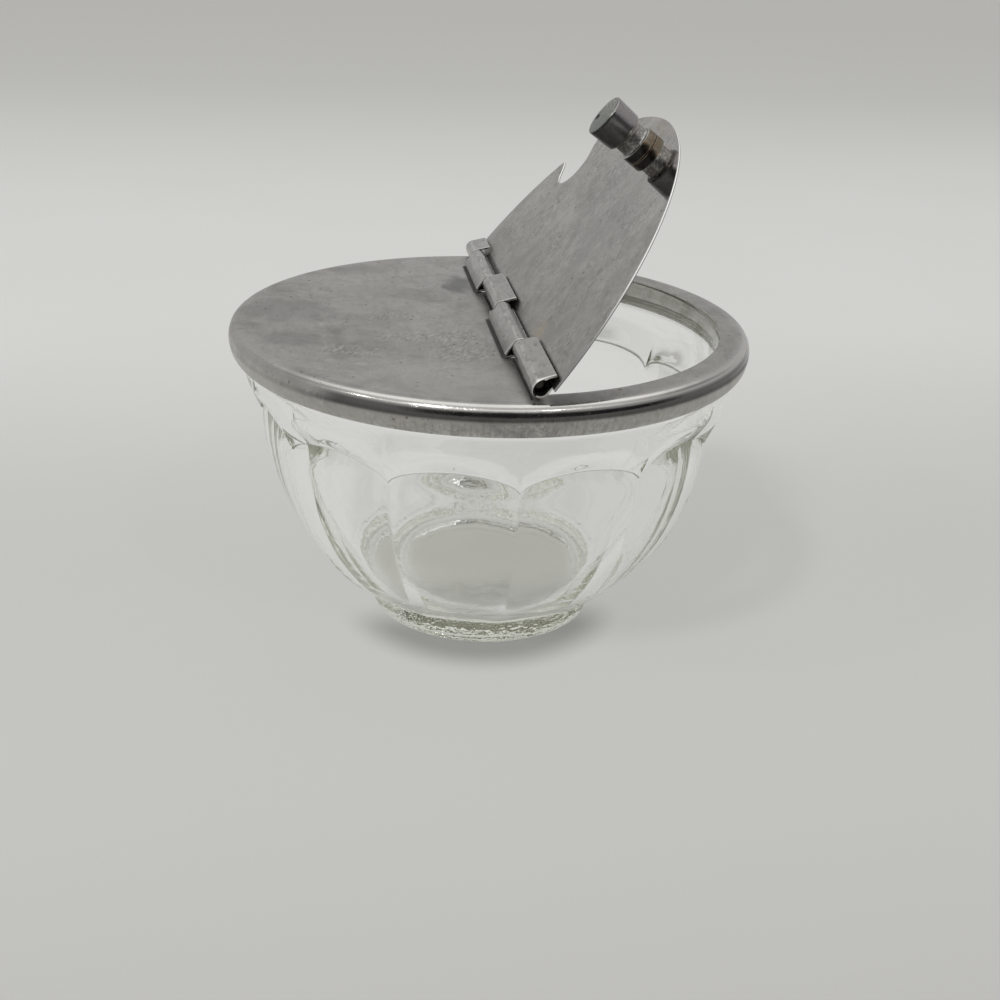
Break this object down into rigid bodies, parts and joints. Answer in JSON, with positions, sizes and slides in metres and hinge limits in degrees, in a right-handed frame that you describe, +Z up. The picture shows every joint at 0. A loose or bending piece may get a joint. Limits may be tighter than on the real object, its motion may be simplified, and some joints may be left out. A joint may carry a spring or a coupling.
{
  "type": "condiment jar",
  "caption": "Pressed-glass condiment jar with flat arched panels and a crimped metal lid; half of the lid is a hinged flap with a knob and a notch for a spoon handle.",
  "frame": {"origin": "middle of the foot's underside, on the bowl's own axis", "axes": "+Z up along the bowl's axis; the hinge pin is parallel to Y; the flap is on the +X side and closes towards +X"},
  "size_m": [0.112, 0.112, 0.1134],
  "materials": {
    "pressed_glass": "clear pressed glass with a faint green-yellow tint",
    "lid_steel": "dull worn stainless sheet",
    "pin_steel": "plain steel wire",
    "flap_steel": "dull worn stainless sheet with stains",
    "knob_steel": "turned steel, semi-polished",
    "screw_steel": "plain steel"
  },
  "bodies": {
    "jar": {"glass_bowl": "pressed_glass", "fixed_lid": "lid_steel", "hinge_pin": "pin_steel"},
    "lid_flap": {"flap": "flap_steel", "knob": "knob_steel", "knob_screw": "screw_steel"}
  },
  "joints": [
    {"name": "flap_hinge", "type": "hinge", "parent": "jar", "child": "lid_flap", "pos_m": [0.0025, 0, 0.0688], "axis": [0, -1, 0], "range_deg": [-52, 114]}
  ]
}
